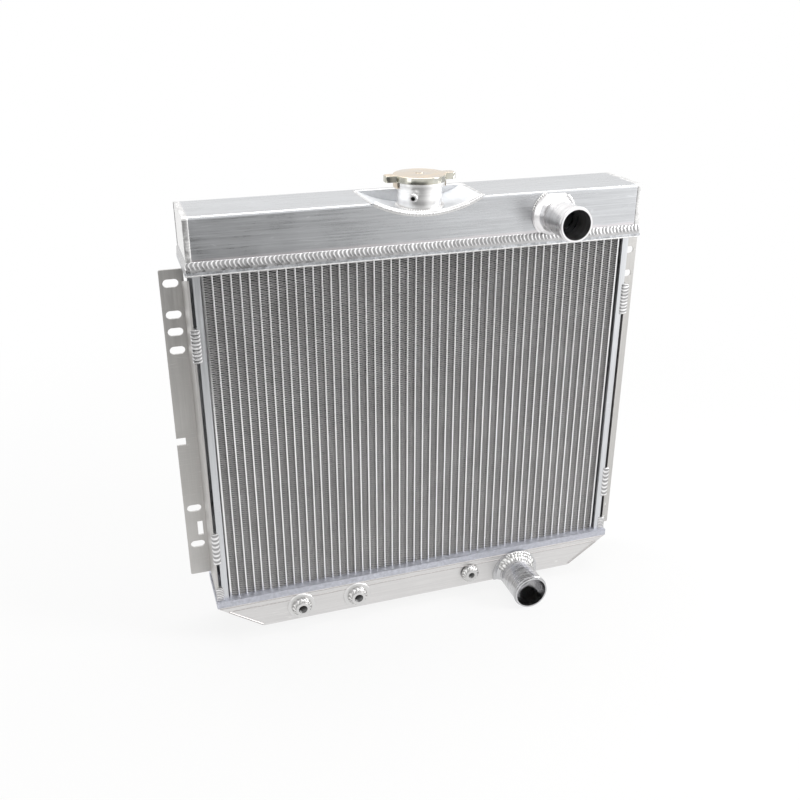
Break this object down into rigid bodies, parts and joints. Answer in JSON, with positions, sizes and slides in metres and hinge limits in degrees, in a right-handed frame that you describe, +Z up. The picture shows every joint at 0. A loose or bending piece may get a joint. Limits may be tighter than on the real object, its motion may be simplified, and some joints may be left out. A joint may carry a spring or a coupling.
{
  "type": "car radiator",
  "caption": "Down-flow aluminium car radiator: welded upper and lower tanks, tube-and-fin core, slotted side brackets, beaded hose necks and a pressure cap.",
  "frame": {"origin": "centre of the lower tank's bottom face", "axes": "+X along the tanks towards the end with the hose necks, +Y away from the hose necks (from the engine side to the grille side), +Z up"},
  "size_m": [0.6039, 0.1393, 0.5648],
  "materials": {
    "tank_sheet": "brushed",
    "header_metal": "satin",
    "weld_metal": "bright rippled bead",
    "neck_metal": "turned",
    "tube_metal": "as brazed",
    "fin_metal": "as brazed",
    "bracket_metal": "mill finish",
    "cooler_metal": "as brazed",
    "cap_zinc": "yellow zinc plate",
    "cap_steel": "satin",
    "cap_brass": "satin",
    "seal_rubber": "matt"
  },
  "bodies": {
    "radiator": {"upper_tank": "tank_sheet", "upper_tank_left_end": "tank_sheet", "upper_tank_right_end": "tank_sheet", "filler_saddle": "tank_sheet", "filler_neck": "neck_metal", "overflow_nipple": "neck_metal", "inlet_neck": "neck_metal", "upper_header": "header_metal", "upper_header_weld": "weld_metal", "tubes_front_row": "tube_metal", "tubes_rear_row": "tube_metal", "fin_strips": "fin_metal", "left_side_plate": "header_metal", "right_side_plate": "header_metal", "left_channel": "bracket_metal", "right_channel": "bracket_metal", "lower_header": "header_metal", "lower_tank": "tank_sheet", "lower_tank_left_end": "tank_sheet", "lower_tank_right_end": "tank_sheet", "outlet_neck": "neck_metal", "cooler_fittings": "neck_metal", "oil_cooler": "cooler_metal", "drain_boss": "neck_metal", "left_bracket": "bracket_metal", "right_bracket": "bracket_metal", "left_bracket_welds": "weld_metal", "right_bracket_welds": "weld_metal"},
    "cap": {"cap_rivet": "cap_zinc", "cap_diaphragm": "cap_steel", "cap_bell": "cap_steel", "cap_pressure_spring": "cap_steel"},
    "cap_cover": {"cap_cover": "cap_zinc"},
    "pressure_valve": {"cap_pressure_plate": "cap_steel", "cap_pressure_seal": "seal_rubber", "cap_vacuum_spring": "cap_steel"},
    "vacuum_valve": {"cap_vacuum_valve": "cap_brass"}
  },
  "joints": [
    {"name": "cap_lift", "type": "slide", "parent": "radiator", "child": "cap", "axis": [0, 0, 1], "range_m": [0, 0.06]},
    {"name": "cap_turn", "type": "hinge", "parent": "cap", "child": "cap_cover", "pos_m": [0, -0.008, 0.5484], "axis": [0, 0, 1], "range_deg": [-80, 0]},
    {"name": "pressure_valve_lift", "type": "slide", "parent": "cap", "child": "pressure_valve", "axis": [0, 0, 1], "range_m": [0, 0.0035], "stiffness_N_per_m": 200, "springref_m": -0.0005, "deforming": ["cap_pressure_spring"]},
    {"name": "vacuum_valve_drop", "type": "slide", "parent": "pressure_valve", "child": "vacuum_valve", "axis": [0, 0, 1], "range_m": [-0.0015, 0], "stiffness_N_per_m": 60, "springref_m": 0.0005, "deforming": ["cap_vacuum_spring"]}
  ]
}
